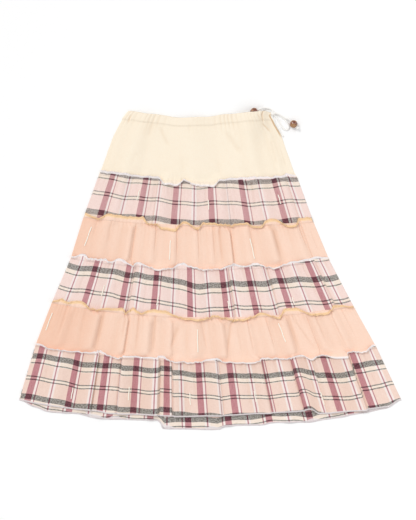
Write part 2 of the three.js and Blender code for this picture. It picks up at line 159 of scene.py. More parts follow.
def grid_faces(rows, columns, round_rows=False, round_columns=True):
    """The corners of each face on a grid of points, which may close on itself either way."""
    row, column = np.meshgrid(
        np.arange(rows if round_rows else rows - 1),
        np.arange(columns if round_columns else columns - 1), indexing="ij",
    )
    here, there = row * columns, (row + 1) % rows * columns
    after = (column + 1) % columns
    corners = np.stack([here + column, there + column, there + after, here + after], axis=-1)
    return corners.reshape(-1, 4).tolist()


def smooth_mesh(name, points, faces):
    mesh = bpy.data.meshes.new(name)
    mesh.from_pydata(points, [], faces)
    mesh.polygons.foreach_set("use_smooth", [True] * len(faces))
    return mesh


def round_mesh(name, line, radii, closed=False):
    """A skin round a line: radii has a row for each point and a column for each side."""
    sides, ups = framed(line, closed)
    rows, columns = radii.shape
    turn = np.linspace(0, 2 * math.pi, columns, endpoint=False)
    points = (
        line[:, None]
        + radii[..., None] * np.cos(turn)[None, :, None] * sides[:, None]
        + radii[..., None] * np.sin(turn)[None, :, None] * ups[:, None]
    ).reshape(-1, 3)
    faces = [[a, d, c, b] for a, b, c, d in grid_faces(rows, columns, round_rows=closed)]
    if not closed:
        faces += [tuple(range(columns))[::-1], tuple(range((rows - 1) * columns, rows * columns))]
    return smooth_mesh(name, points, faces)


def maths(operation):
    """A method that adds a Math node."""

    def method(self, *others):
        return self.finish.node("ShaderNodeMath", {"operation": operation}, self, *others)

    return method


class Value:
    """A number or colour that varies over a surface. Python's operators add Math nodes to it."""

    def __init__(self, finish, socket):
        self.finish = finish
        self.socket = socket

    __add__ = __radd__ = maths("ADD")
    __mul__ = __rmul__ = maths("MULTIPLY")
    __sub__ = maths("SUBTRACT")
    __mod__ = maths("FLOORED_MODULO")
    __abs__ = maths("ABSOLUTE")
    sine = maths("SINE")

    def __rsub__(self, other):
        return self * -1 + other

    def ease(self, low, high):
        """0 below low, 1 above high and smooth between them."""
        settings = {"interpolation_type": "SMOOTHSTEP"}
        return self.finish.node("ShaderNodeMapRange", settings, self, low, high, 0.0, 1.0)

    def stripe(self, middle, wide, soft):
        """1 on a band of that width round the middle, 0 off it, with soft edges."""
        return 1 - abs(self - middle).ease(wide / 2 - soft, wide / 2 + soft)


class Finish:
    """A material, with the nodes that make its colour and its relief."""

    def __init__(self, name, **plain):
        self.material = bpy.data.materials.new(name)
        self.material.use_nodes = True
        self.tree = self.material.node_tree
        self.surface = self.tree.nodes["Principled BSDF"]
        for socket, value in plain.items():
            self.surface.inputs[socket.replace("_", " ")].default_value = value

    def feed(self, socket, value):
        if isinstance(value, Value):
            self.tree.links.new(value.socket, socket)
        else:
            socket.default_value = value

    def node(self, kind, settings, *values, output=0, **named):
        node = self.tree.nodes.new(kind)
        for setting, value in settings.items():
            setattr(node, setting, value)
        for socket, value in zip(node.inputs, values):
            self.feed(socket, value)
        for name, value in named.items():
            self.feed(node.inputs[name], value)
        return Value(self, node.outputs[output])

    def place(self):
        """Where a point lies on the object, in metres."""
        return self.node("ShaderNodeTexCoord", {}, output=3)

    def cloth_place(self, layer="cloth"):
        """How far a point lies along and down the cloth, in metres."""
        place = self.node("ShaderNodeUVMap", {"uv_map": layer})
        along = self.node("ShaderNodeSeparateXYZ", {}, place)
        return along, Value(self, along.socket.node.outputs[1])

    def noise(self, place, size, detail=2.0, roughness=0.5):
        return self.node(
            "ShaderNodeTexNoise", {}, Vector=place, Scale=1 / size, Detail=detail, Roughness=roughness
        )

    def streaks(self, along, down, size, detail=2.0, roughness=0.5):
        """Noise on the cloth, finer the way that has been stretched."""
        place = self.node("ShaderNodeCombineXYZ", {}, along, down)
        return self.noise(place, size, detail, roughness)

    def mix(self, part, low, high, how="MIX"):
        settings = {"data_type": "RGBA", "blend_type": how}
        mixed = self.node("ShaderNodeMix", settings, output=2)
        for index, value in ((0, part), (6, low), (7, high)):
            self.feed(mixed.socket.node.inputs[index], value)
        return mixed

    def relief(self, height, strength=1.0, depth=0.001):
        """Relief from a height that runs from 0 to 1, as deep as depth in metres."""
        bump = self.node("ShaderNodeBump", {}, Height=height, Strength=strength, Distance=depth)
        self.feed(self.surface.inputs["Normal"], bump)

    def colour(self, value):
        self.feed(self.surface.inputs["Base Color"], value)


def shade(red, green, blue):
    """A colour as the eye sees it, from 0 to 255, for a shader's socket."""
    parts = [value / 255 for value in (red, green, blue)]
    return (*(p / 12.92 if p <= 0.04045 else ((p + 0.055) / 1.055) ** 2.4 for p in parts), 1.0)


cord_finish = Finish("cotton_cord", Roughness=0.9, Sheen_Weight=0.3, Sheen_Roughness=0.5)
place = cord_finish.place()
fibres = cord_finish.noise(place, 0.0007, 4.0, 0.6)
tired = cord_finish.noise(place, 0.009)
cord_finish.colour(
    cord_finish.mix(fibres * 0.45 + tired * 0.4, shade(255, 255, 254), shade(246, 241, 234))
)
cord_finish.relief(fibres, 0.4, 0.0003)


def twisted(line, radius):
    """The skin of a cord of strands laid round each other along a line."""
    turn = np.linspace(0, 2 * math.pi, 24, endpoint=False)
    step = np.linalg.norm(np.diff(line, axis=0), axis=1).mean()
    laid = np.arange(len(line)) * step * 2 * math.pi / TWIST
    lobes = np.abs(np.cos(STRANDS / 2 * (turn[None] - laid[:, None])))
    return radius * (0.8 + 0.24 * lobes**0.7)


Stretch = namedtuple("Stretch", "name route length node carries")
stretches = [
    Stretch("drawstring_by_the_side", SIDE_STRETCH, 0.058, "drawstring_side", ["bow_knot_tied"]),
    Stretch("drawstring_in_a_loop", LOOP, 0.107, "drawstring_loop", []),
]
for tail in TAILS:
    name, node = f"drawstring_{tail.side}_tail", f"drawstring_tail_{tail.side}"
    threads_on = [f"{tail.side}_bead", f"{tail.side}_end_knot"]
    stretches.append(Stretch(name, threaded(tail), tail.length, node, threads_on))
for stretch in stretches:
    line = smooth_line(stretch.route, 0.0007)
    mesh = round_mesh(stretch.name, line, twisted(line, CORD_THICK / 2))
    cord = link(stretch.name, mesh, cord_finish.material)
    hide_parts(stretch.node)


# Each tail ends in a small overhand knot behind its bead, and the bow is held by a flat knot of
# three turns, all pulled tight in the cord itself.
END_KNOT_FAR = 0.0129  # from the middle of its bead
Knot = namedtuple("Knot", "name middle along across high thick node")
knots = [
    Knot("bow_knot_tied", (0.1443, 0.3610, 0.0054), (0.3, -0.2, 1), 0.0104, 0.0082, 0.0036, "bow_knot"),
]
for side, _, bead, _ in TAILS:
    middle = along_bead(bead, END_KNOT_FAR)
    knots.append(Knot(f"{side}_end_knot", middle, bead.along, 0.0066, 0.0056, 0.0025, f"end_knot_{side}"))
for knot in knots:
    t = np.linspace(0, 2 * math.pi, 120, endpoint=False)
    flat = (knot.across - knot.thick) / 6
    rise = (knot.high - knot.thick) / 2
    x = flat * (np.sin(t) + 2 * np.sin(2 * t))
    y = flat * (np.cos(t) - 2 * np.cos(2 * t))
    path = np.stack([x, y, -rise * np.sin(3 * t)], axis=1)
    up = unit(knot.along)
    right = unit(np.cross(up, (0.2, 1, 0.1)))
    path = np.array(knot.middle) + path @ np.array([right, np.cross(up, right), up])
    mesh = round_mesh(knot.name, path, twisted(path, knot.thick / 2), closed=True)
    piece = link(knot.name, mesh, cord_finish.material)
    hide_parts(knot.node)


# The beads are turned wooden balls, waxed brown with the grain showing, with a hole for the cord.
# They slide on the tails as far as the end knots.
BEAD_HOLE = 0.0048
RING_WIDE = 0.0022  # from one of the wood's rings to the next
bead_finish = Finish("waxed_wood", Roughness=0.42, Coat_Weight=0.25, Coat_Roughness=0.25)
place = bead_finish.place()
wander = bead_finish.noise(place, 0.02, 3.0)
lengths = bead_finish.node("ShaderNodeSeparateXYZ", {}, place)
rings = ((lengths + wander * 0.012) * (2 * math.pi / RING_WIDE)).sine() * 0.5 + 0.5
pores = bead_finish.noise(place, 0.0006, 2.0)
patches = bead_finish.noise(place, 0.010, 1.0, 0.6).ease(0.42, 0.58)
# Painted highlights: pale pink patches stand in for light caught on the waxed wood.
painted_highlight = bead_finish.noise(place, 0.006, 2.0).ease(0.56, 0.66)
wood = bead_finish.mix(rings, shade(96, 44, 30), shade(136, 74, 46))
pale_wood = bead_finish.mix(rings, shade(168, 122, 74), shade(198, 156, 112))
wood = bead_finish.mix(patches * 0.8, wood, pale_wood)
wood = bead_finish.mix(painted_highlight * 0.7, wood, shade(226, 200, 190))
bead_finish.colour(bead_finish.mix(pores.ease(0.55, 0.75) * 0.5, wood, shade(84, 44, 28)))
bead_finish.relief(rings * 0.4 + pores * 0.6, 0.35, 0.0003)


def bead_mesh(name):
    """A ball with a rounded hole along its local Y axis."""
    arcs, around = 28, 48
    hole, radius = BEAD_HOLE / 2, BEAD / 2
    lip = 0.0006
    mouth = math.acos((hole + lip) / radius)
    outside = [(radius * math.cos(a), radius * math.sin(a)) for a in np.linspace(-mouth, mouth, arcs)]
    inside = [(hole, y) for y in np.linspace(outside[-1][1] - lip, -outside[-1][1] + lip, 6)]
    profile = outside + inside
    turn = np.linspace(0, 2 * math.pi, around, endpoint=False)
    points = [(r * math.cos(a), y, r * math.sin(a)) for r, y in profile for a in turn]
    return smooth_mesh(name, points, grid_faces(len(profile), around, round_rows=True))


for side, _, bead, _ in TAILS:
    name = f"{side}_bead"
    mesh = bead_mesh(name)
    y = unit(bead.along)
    x = unit(np.cross(y, (0, 0, 1)))
    turned = np.array([x, y, np.cross(x, y)])
    points = np.array([v.co[:] for v in mesh.vertices]) @ turned + np.array(bead.middle)
    mesh.vertices.foreach_set("co", points.ravel())
    piece = link(name, mesh, bead_finish.material)
    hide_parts(f"bead_{side}")

for stretch in stretches:
    smooth_line(stretch.route, 0.002)


# The tiers are strips of crinkled cotton gauze sewn into rings, each gathered to the one above.
# "across" runs 0 to 1 between the side seams and "down" runs 0 to 1 from seam to seam.
CLOTH = 0.0008  # the shown thickness of the gauze
BACK_HIGH = 0.0005  # height of the back's middle
FRONT_HIGH = 0.0021  # height of the front's middle where it lies on the back
PUFF = 0.0015  # how much higher the front lies away from the side folds
UNEVEN = 0.0004  # height of the small swells all over it
RISE = 0.17  # part of a plain tier in which its folds pass into those of the plaid one beside it
SIDE = 0.045  # part of the width in which the front rises from a side fold

Seam = namedtuple("Seam", "left right sag back_drop")
SEAMS = [
    Seam((-0.187, 0.3656), (0.1388, 0.362), 0, 0),
    Seam((-0.2547, 0.2202), (0.1995, 0.2117), 0.0137, 0.004),
    Seam((-0.2904, 0.122), (0.236, 0.1112), 0.0146, 0.008),
    Seam((-0.3198, 0.0273), (0.2727, 0.0227), 0.0226, 0.012),
    Seam((-0.363, -0.0739), (0.3284, -0.0831), 0.031, 0.017),
    Seam((-0.4015, -0.174), (0.3815, -0.1786), 0.034, 0.022),
    Seam((-0.4384, -0.2984), (0.4384, -0.2984), 0.037, 0),
]
YOKE, HEM = 1, 6

# Extra dip of the waist and of the two hems below a plain curve, in millimetres
WAIST_DIP = {0: 0, 0.16: 6.5, 0.37: 14.5, 0.54: 12, 0.7: 4.6, 0.87: 0.4, 0.96: -3, 1: 0}
FRONT_HEM_DIP = {
    0: 0, 0.04: 2, 0.165: 3, 0.2: 2, 0.236: 5, 0.27: 2.8, 0.33: 2, 0.43: 2.5, 0.5: 0.3, 0.65: -3.2,
    0.73: -2, 0.772: -4.6, 0.787: 7.5, 0.82: 8.7, 0.965: 11, 1: 0,
}
BACK_HEM_DIP = {
    0: 0, 0.04: 10.7, 0.075: 17, 0.15: 13, 0.195: 17.5, 0.235: 18, 0.27: 15.5, 0.366: 13, 0.376: 31.5,
    0.45: 30.5, 0.51: 31.5, 0.525: 30.5, 0.535: 23.5, 0.58: 22.5, 0.635: 23.5, 0.665: 19.5, 0.72: 21.5,
    0.762: 24.5, 0.8: 21.5, 0.9: 17, 0.96: 14, 1: 0,
}
# How far the yoke's sides stand outside a straight line, in millimetres
YOKE_LEFT = {0: 0, 0.05: 3, 0.11: 5.3, 0.27: 7, 0.4: 7.6, 0.6: 5.1, 0.75: 2.3, 0.91: 0.5, 1: 0}
YOKE_RIGHT = {0: 0, 0.05: -4.5, 0.15: -2.3, 0.35: 2.2, 0.61: -0.2, 0.91: -2.3, 1: 0}


def named_rows(kind, in_mm, tables):
    """A table for each tier with its columns named, and those in millimetres turned into metres."""

    def named(row):
        whole = kind(*row)
        return whole._replace(**{column: getattr(whole, column) / 1000 for column in in_mm.split()})

    return {tier: [named(row) for row in rows] for tier, rows in tables.items()}


# Folds down the front of each tier. A fold that leans is laid over to the right (or left, below 0)
# by that many times its height. At its foot, tuck is the cloth that it hides and slip is how far
# the pattern beyond it has moved up. All but across and lean are in millimetres.
Fold = namedtuple("Fold", "across wide high lean tuck slip", defaults=(0, 0, 0))
FOLDS = named_rows(Fold, "wide high tuck slip", {
    1: [
        (0.13, 70, 3.5), (0.45, 150, 4.5), (0.8, 62, 4), (0.93, 24, 2.5),
    ],
    2: [
        (0.12, 42, 4, 0.5), (0.23, 36, 3), (0.34, 44, 4.5, -0.6, 5), (0.47, 52, 3.5),
        (0.6, 46, 4, 0.8, 6), (0.71, 38, 3), (0.82, 40, 4.5, -0.8), (0.92, 28, 3, 1, 4),
    ],
    3: [
        (0.1, 46, 3), (0.2, 34, 7, 0.9, 6), (0.3, 38, 4, 0.6), (0.385, 40, 5, 0.8), (0.48, 42, 4, 0.5),
        (0.55, 26, 3.5), (0.611, 30, 6.5, 1.5, 8), (0.7, 36, 4), (0.79, 52, 7.5, 0.9),
        (0.91, 40, 4, 0.7, 4),
    ],
    4: [
        (0.12, 56, 3), (0.225, 36, 5, 1.3, 8, 2), (0.36, 60, 4), (0.48, 58, 3.5, 0.6),
        (0.585, 36, 6, 1.6, 14, 3), (0.722, 50, 5, 0.8, 6), (0.85, 44, 4), (0.925, 30, 4, 1.2, 8, -4),
    ],
    5: [
        (0.06, 34, 3), (0.145, 44, 7, 1), (0.239, 30, 5.5, 1.6, 8), (0.312, 46, 7, 0.9),
        (0.385, 34, 5, 1.2), (0.47, 48, 5), (0.547, 44, 7, 1), (0.64, 36, 4), (0.7, 34, 4, 0.6),
        (0.752, 44, 7, 1), (0.865, 38, 5, -0.8, 4), (0.925, 30, 4),
    ],
    6: [
        (0.09, 50, 3), (0.165, 38, 7.5, 2, 10, 1), (0.275, 40, 7, -1.8, 10, 1),
        (0.34, 46, 9, 1.6, 8, 3), (0.42, 34, 6, -1.6, 8, -9), (0.512, 44, 7, 1.6, 10),
        (0.64, 46, 7.5, 1.7, 10, 2), (0.767, 36, 7, -1.4, 8, 3), (0.83, 40, 5, -1.2, 6, -4),
        (0.89, 44, 8, 1.9, 10, 12),
    ],
})
# Creases: soft troughs down a tier, from top to bottom, which drift that far across on the way.
# wide and deep are in millimetres.
Crease = namedtuple("Crease", "across top drift bottom wide deep")
CREASES = named_rows(Crease, "wide deep", {
    1: [
        (0.943, 0, -0.024, 0.21, 3, 4.2), (0.917, 0.16, 0.03, 0.31, 3.4, 3.4),
        (0.03, 0.03, 0.016, 0.2, 3.6, 2), (0.235, 0.13, 0.1, 0.5, 7, 1.6),
        (0.195, 0.12, -0.012, 0.38, 10, 1), (0.665, 0.22, 0.085, 0.62, 9, 1.6),
        (0.932, 0.35, -0.007, 0.86, 4, 1.4), (0.974, 0.51, -0.004, 0.86, 2.2, 1.2),
        (0.436, 0.06, 0, 0.28, 4, 0.9), (0.912, 0.02, 0.01, 0.16, 1.8, 1.4),
        (0.15, 0.55, -0.02, 0.97, 7, 0.8), (0.4, 0.55, 0.03, 0.95, 10, 0.8),
        (0.6, 0.62, 0.02, 0.98, 8, 0.8),
    ],
    2: [
        (0.17, 0, 0, 0.7, 3, 1.4), (0.29, 0, -0.01, 0.9, 4, 1.6), (0.41, 0.1, 0.01, 1, 3, 1.3),
        (0.535, 0, 0, 0.8, 4, 1.5), (0.655, 0.2, 0.01, 1, 3, 1.4), (0.77, 0, -0.01, 0.8, 4, 1.6),
        (0.875, 0, 0.01, 1, 3, 1.4), (0.955, 0, 0, 0.9, 2, 1.2),
    ],
    3: [
        (0.06, 0, 0, 0.6, 3, 1.2), (0.12, 0, 0.01, 0.7, 4, 1.4), (0.316, 0, 0, 0.8, 2.6, 1.8),
        (0.403, 0, 0.005, 0.9, 2.2, 2), (0.496, 0, 0, 1, 2.2, 1.8), (0.562, 0, 0, 0.9, 2, 1.8),
        (0.587, 0, 0.003, 1, 1.8, 2), (0.722, 0, 0, 0.9, 3, 1.6), (0.816, 0, 0.005, 1, 8, 3),
        (0.93, 0, 0.01, 0.9, 2.4, 1.8), (0.975, 0.1, 0, 0.8, 2, 1.4),
    ],
    4: [
        (0.07, 0.1, 0, 0.9, 4, 1.2), (0.185, 0, 0.01, 0.8, 4, 1.4), (0.3, 0.1, 0, 1, 3, 1.3),
        (0.42, 0, 0, 0.8, 4, 1.3), (0.54, 0.1, 0.01, 1, 4, 1.4), (0.67, 0, 0, 0.9, 4, 1.5),
        (0.759, 0, 0, 1, 2.6, 1.8), (0.81, 0, 0, 1, 3, 1.4), (0.895, 0, 0.01, 1, 3, 1.4),
    ],
    5: [
        (0.053, 0, 0, 0.9, 3, 1.6), (0.11, 0, 0.01, 0.8, 4, 1.2), (0.172, 0, 0, 1, 5, 2.8),
        (0.235, 0, 0, 0.7, 2, 1.8), (0.289, 0, 0, 1, 2.2, 1.8), (0.342, 0, 0, 1, 5, 2.6),
        (0.425, 0.1, -0.042, 0.85, 6, 2.6), (0.445, 0.2, 0, 1, 4, 1.2),
        (0.493, 0, 0.016, 0.95, 3, 1.8), (0.594, 0, -0.036, 1, 3.4, 3), (0.61, 0.1, 0, 1, 3, 1.4),
        (0.646, 0, 0, 1, 2.2, 1.8), (0.705, 0, 0.005, 0.9, 2.2, 1.8), (0.78, 0, 0, 1, 5, 2.8),
        (0.795, 0, 0.04, 1, 3, 2.2), (0.873, 0, 0, 0.9, 2.4, 1.8), (0.919, 0, 0, 1, 2.2, 1.8),
        (0.96, 0, 0, 0.8, 2, 1.4),
    ],
    6: [
        (0.05, 0, 0, 1, 4, 1.2), (0.133, 0, 0, 1, 3, 1.6), (0.215, 0, 0, 0.8, 4, 1.5),
        (0.385, 0, 0, 1, 5, 2), (0.46, 0, 0.01, 1, 4, 1.4), (0.58, 0, 0, 0.9, 4, 1.5),
        (0.61, 0.2, 0, 1, 3, 1.2), (0.7, 0, 0, 0.9, 4, 1.6), (0.792, 0, 0, 1, 2.4, 2),
        (0.96, 0, 0, 1, 3, 1.2),
    ],
})
# How far the plaid's cross stripes sink towards the hem along each tier, in millimetres
WEFT_SINKS = {
    2: {0: 0, 0.5: 6, 1: 10},
    4: {0: 0, 0.25: 3, 0.38: 12, 0.5: 20, 1: 22},
    6: {0: 0, 0.4: 2, 0.49: 3, 0.55: 9, 0.75: 11, 0.88: 19, 1: 19},
}
# Width of each tier's strip, cut flat, all the way round
WIDE_CUT = {1: 1.00, 2: 1.06, 3: 1.26, 4: 1.47, 5: 1.64, 6: 1.80}


def mix(low, high, part):
    return low + (high - low) * part


def ease(part):
    part = np.clip(part, 0, 1)
    return part * part * (3 - 2 * part)


def between(table, place):
    """A table's value, from millimetres to metres, at places between its own, with smooth steps."""
    places, values = np.array(list(table)), np.array(list(table.values()))
    after = np.clip(np.searchsorted(places, place), 1, len(places) - 1)
    part = (place - places[after - 1]) / (places[after] - places[after - 1])
    return mix(values[after - 1], values[after], ease(part)) / 1000


def seam_place(seam, across, back=False):
    """Where a seam lies in plan, at places across it."""
    s = SEAMS[seam]
    hem_dip = BACK_HEM_DIP if back else FRONT_HEM_DIP
    dip = between({0: WAIST_DIP, HEM: hem_dip}.get(seam, {0: 0, 1: 0}), across)
    drop = (s.sag + s.back_drop * back) * 4 * across * (1 - across) + dip
    return mix(s.left[0], s.right[0], across), mix(s.left[1], s.right[1], across) - drop


def tier_place(tier, across, down, back=False):
    top_x, top_y = seam_place(tier - 1, across, back)
    low_x, low_y = seam_place(tier, across, back)
    x = mix(top_x, low_x, down)
    if tier == YOKE:
        x = x - between(YOKE_LEFT, down) * (1 - across) ** 4
        x = x + between(YOKE_RIGHT, down) * across**4
    return x, mix(top_y, low_y, down)


def tier_tall(tier):
    return SEAMS[tier - 1].left[1] - SEAMS[tier].left[1]


def seam_wide(seam):
    return SEAMS[seam].right[0] - SEAMS[seam].left[0]


def fold_shape(tier, across):
    """Height of a tier's folds and how far they lean, at places across."""
    high, lean = np.zeros_like(across), np.zeros_like(across)
    for fold in FOLDS[tier]:
        away = (across - fold.across) * seam_wide(tier)
        bump = fold.high * ease(1 - 2 * np.abs(away) / fold.wide)
        high = high + bump
        lean = lean + fold.lean * bump
    return high, lean


def folds_here(tier, across, down):
    """Height and lean of the folds. At its seams a plain tier has those of its plaid neighbours."""
    shape = fold_shape(tier, across)
    if tier % 2:
        for neighbour, away in ((tier - 1, down), (tier + 1, 1 - down)):
            if neighbour >= YOKE:
                pairs = zip(fold_shape(neighbour, across), shape)
                shape = [mix(there, here, ease(away / RISE)) for there, here in pairs]
    return shape


def fold_foot(tier, fold):
    """Where the side that a fold leans to meets the cloth."""
    return fold.across + math.copysign(fold.wide / 2 / seam_wide(tier), fold.lean)


def hidden_cloth(tier, across):
    """Cloth hidden in the tucks up to places across, and how far the pattern has slipped there."""
    foot_wide = 0.003
    tuck, slip = np.zeros_like(across), np.zeros_like(across)
    for fold in FOLDS[tier]:
        past = ease(0.5 + (across - fold_foot(tier, fold)) * seam_wide(tier) / foot_wide)
        tuck = tuck + fold.tuck * past
        slip = slip + fold.slip * past
    return tuck, slip


def crease_shape(tier, across, down):
    """Depth of a tier's creases, with a sharp one at the foot of each tucked fold."""
    deep = np.zeros_like(across + down)
    for crease in CREASES[tier]:
        part = (down - crease.top) / (crease.bottom - crease.top)
        middle = crease.across + crease.drift * part
        away = (across - middle) * seam_wide(tier) / crease.wide
        ends = ease(part * 4) * ease((1 - part) * 3)
        if crease.top == 0:
            ends = ease((1 - part) * 2)
        deep = deep + crease.deep * ends * np.exp(-(away**2))
    foot_wide, foot_deep = 0.0016, 0.0016
    for fold in FOLDS[tier]:
        if fold.tuck:
            away = (across - fold_foot(tier, fold)) * seam_wide(tier) / foot_wide
            deep = deep + foot_deep * ease(0.1 + down * 8) * np.exp(-(away**2))
    return deep


PUCKER_WIDE = 0.0095  # from one pucker to the next
PUCKERS_ABOVE, PUCKERS_BELOW = 0.009, 0.016  # how far they fade on either side of a seam


def gathers(seam, across, reach):
    """Small puckers along a gathered seam, uneven in size; reach falls from 1 at the seam."""
    deep = 0.0006
    along = across * seam_wide(seam)
    wander = 0.35 * np.sin(along * 61 + seam) + 0.25 * np.sin(along * 143 + 2.3 * seam)
    pinch = np.sin(2 * math.pi * along / PUCKER_WIDE + 6 * wander)
    uneven = 0.55 + 0.45 * np.sin(along * 37 + 1.7 * seam)
    return deep * uneven * pinch * reach


def bead_bulge(x, y):
    """The front's lift over the bead that lies inside the waist."""
    wide, deep, high = 0.017, 0.040, 0.0186
    across = (x - LEFT_BEAD.middle[0]) / wide
    down = (y - LEFT_BEAD.middle[1]) / deep
    return high * np.exp(-(across**2 + down**2) / 2)


CASING = 0.017
CASING_LIFT = 0.0019  # the outer layer over the inner one and the cord
CASING_STEP = 0.003  # over which it comes down again below the stitches


def casing_part(tier, down):
    """1 on the drawstring casing, 0 below it."""
    if tier != YOKE:
        return np.zeros_like(down)
    return 1 - ease((down * tier_tall(YOKE) - CASING) / CASING_STEP)


def waist_puckers(across, down):
    """The casing is drawn up on its cord in small uneven ripples, which fade below it."""
    deep, fades_over = 0.0009, 0.012
    along = across * seam_wide(0)
    wander = 2.2 * np.sin(along * 47) + 1.3 * np.sin(along * 113)
    ripple = np.sin(2 * math.pi * along / PUCKER_WIDE + wander)
    uneven = (0.5 + 0.5 * np.sin(along * 29 + 1)) * (0.6 + 0.4 * np.sin(along * 83 + 2))
    reach = np.exp(-np.clip(down * tier_tall(YOKE) - CASING, 0, None) / fades_over)
    return deep * ripple * reach * uneven


def front_place(tier, across, down):
    """The middle of the front's cloth, as x, y and z."""
    x, y = tier_place(tier, across, down)
    side = ease(np.minimum(across, 1 - across) / SIDE)
    high, lean = folds_here(tier, across, down)
    z = FRONT_HIGH + side * (PUFF + high)
    x = x + side * lean
    tall = tier_tall(tier)
    z = z - side * crease_shape(tier, across, down)
    z = z + side * gathers(tier, across, np.exp((down - 1) * tall / PUCKERS_ABOVE))
    if tier > YOKE:
        z = z + side * gathers(tier - 1, across, np.exp(-down * tall / PUCKERS_BELOW))
    else:
        z = z + side * (bead_bulge(x, y) + waist_puckers(across, down))
        z = z + CASING_LIFT * casing_part(tier, down)
    x_mm, y_mm = x * 1000, y * 1000
    uneven = np.sin(x_mm / 17 + 2 * np.sin(y_mm / 23)) * np.sin(y_mm / 19 + x_mm / 41)
    z = z + side * UNEVEN * uneven
    return np.stack([x, y, np.maximum(z, FRONT_HIGH)], axis=-1)


# Ripples of the back's hem where it shows below the front's
RIPPLES = named_rows(Fold, "wide high", {
    HEM: [
        (0.12, 24, 3), (0.21, 34, 4), (0.345, 30, 5), (0.545, 36, 4), (0.71, 44, 4), (0.85, 34, 3.5),
    ],
})


def back_place(tier, across, down):
    """The middle of the back's cloth: flat on the table but for its hem, which ripples."""
    x, y = tier_place(tier, across, down, back=True)
    z = np.full_like(x, BACK_HIGH)
    if tier == HEM:
        clear, reach = 0.002, 0.014
        past = ease((seam_place(HEM, across)[1] - clear - y) / reach)
        for ripple in RIPPLES[tier]:
            away = np.abs(across - ripple.across) * seam_wide(HEM)
            z = z + past * ripple.high * ease(1 - 2 * away / ripple.wide)
        z = z + past * UNEVEN * (1 + np.sin(across * 310 + 3 * np.sin(across * 41)))
    return np.stack([x, y, z], axis=-1)


AT_THE_EDGE = 0.5  # halfway through the turn at the waist's edge


def ring_grid(tier, acrosses, back_acrosses, rows):
    """The points of a tier's ring of cloth: front, right side fold, back and left side fold.
    rows has a pair for each row: its place down, and how far it is turned in at the casing."""
    turn_in = 0.0013
    turns = np.radians([50, 0, -50])
    grid = []
    for down, inside in rows:
        front = front_place(tier, acrosses, np.full_like(acrosses, down))
        back = back_place(tier, back_acrosses, np.full_like(back_acrosses, down))[::-1]
        front[:, 2] -= inside * turn_in
        back[:, 2] += inside * turn_in
        edge_lift = 0.0006 if inside == AT_THE_EDGE else 0
        front[:, 1] += edge_lift
        back[:, 1] += edge_lift
        loop = [front]
        for end, out in ((front[-1], 1), (front[0], -1)):
            other = back[0] if out > 0 else back[-1]
            radius = (end[2] - other[2]) / 2
            middle = (end + other) / 2
            order = turns if out > 0 else turns[::-1]
            bend = [middle + (out * radius * math.cos(a), 0, radius * math.sin(a)) for a in order]
            loop.append(np.array(bend))
            if out > 0:
                loop.append(back)
        grid.append(np.vstack(loop))
    return np.array(grid)


def cloth_mesh(name, grid, along, down, ring):
    """A layer of cloth through a grid of points, with how far each lies along and down the cloth.
    along has one more column than a ring's grid, for the way round to its start."""
    mesh = smooth_mesh(name, grid.reshape(-1, 3), grid_faces(*grid.shape[:2], round_columns=ring))
    at = np.stack([along, down], axis=-1)
    at = np.stack([at[:-1, :-1], at[1:, :-1], at[1:, 1:], at[:-1, 1:]], axis=-2)
    mesh.uv_layers.new(name="cloth").data.foreach_set("uv", at.ravel())
    return mesh


def painted_shade_at(tier, acrosses, rows_down):
    """How much painted shade each point of a front gets, from 0 to 1: in its creases, between its folds, in
    the troughs of its puckers and, on the yoke, beside the cord.
    """
    shade_wide, full_fold, full_crease, full_pucker = 0.016, 0.006, 0.0035, 0.0005
    across, down = np.meshgrid(acrosses, rows_down)
    high = fold_shape(tier, acrosses)[0]
    reach = np.abs(acrosses[:, None] - acrosses[None, :]) * seam_wide(tier) / shade_wide
    beside = (high[None, :] * ease(1.4 - reach)).max(axis=1)
    # Painted shade in the valleys beside tall folds, in creases and in the troughs of puckers.
    painted_fold_shade = np.clip((beside - high) / full_fold, 0, 1)
    if tier % 2:
        painted_fold_shade = painted_fold_shade * ease(down / RISE) * ease((1 - down) / RISE)
    painted_crease_shade = np.clip(crease_shape(tier, across, down) / full_crease, 0, 1) ** 1.4
    pucker = gathers(tier - 1, across, np.exp(-down * tier_tall(tier) / 0.022))
    painted_cord_shadow = 0
    if tier == YOKE:
        pucker = waist_puckers(across, down)
        # Painted shadow: a brown line down the yoke's right edge, from the waist part way down, where the
        # cord lies beside it.
        painted_cord_shadow = 0.8 * ease((across - 0.988) / 0.006) * ease(down / 0.06) * ease((0.4 - down) / 0.1)
    painted_pucker_shade = np.clip(-pucker / full_pucker, 0, 1)
    return np.clip(0.16 * painted_fold_shade + 0.32 * painted_crease_shade + 0.14 * painted_pucker_shade + painted_cord_shadow, 0, 1)


def mark(mesh, layer, values):
    """Keep a number for each point on the mesh, for its finish."""
    corner = np.zeros(len(mesh.loops), int)
    mesh.loops.foreach_get("vertex_index", corner)
    at = values.ravel()[corner]
    mesh.uv_layers.new(name=layer).data.foreach_set("uv", np.stack([at, at], axis=1).ravel())


# Keeps each point's painted shade on the mesh, for its finish.
def mark_painted_shade(mesh, tier, grid, acrosses, rows_down):
    deep = np.zeros(grid.shape[:2])
    deep[:, : len(acrosses)] = painted_shade_at(tier, acrosses, rows_down)
    mark(mesh, "painted_shade", deep)


def thicken(piece, thick):
    wall = piece.modifiers.new("cloth", "SOLIDIFY")
    wall.thickness = thick
    wall.offset = 0
    return piece


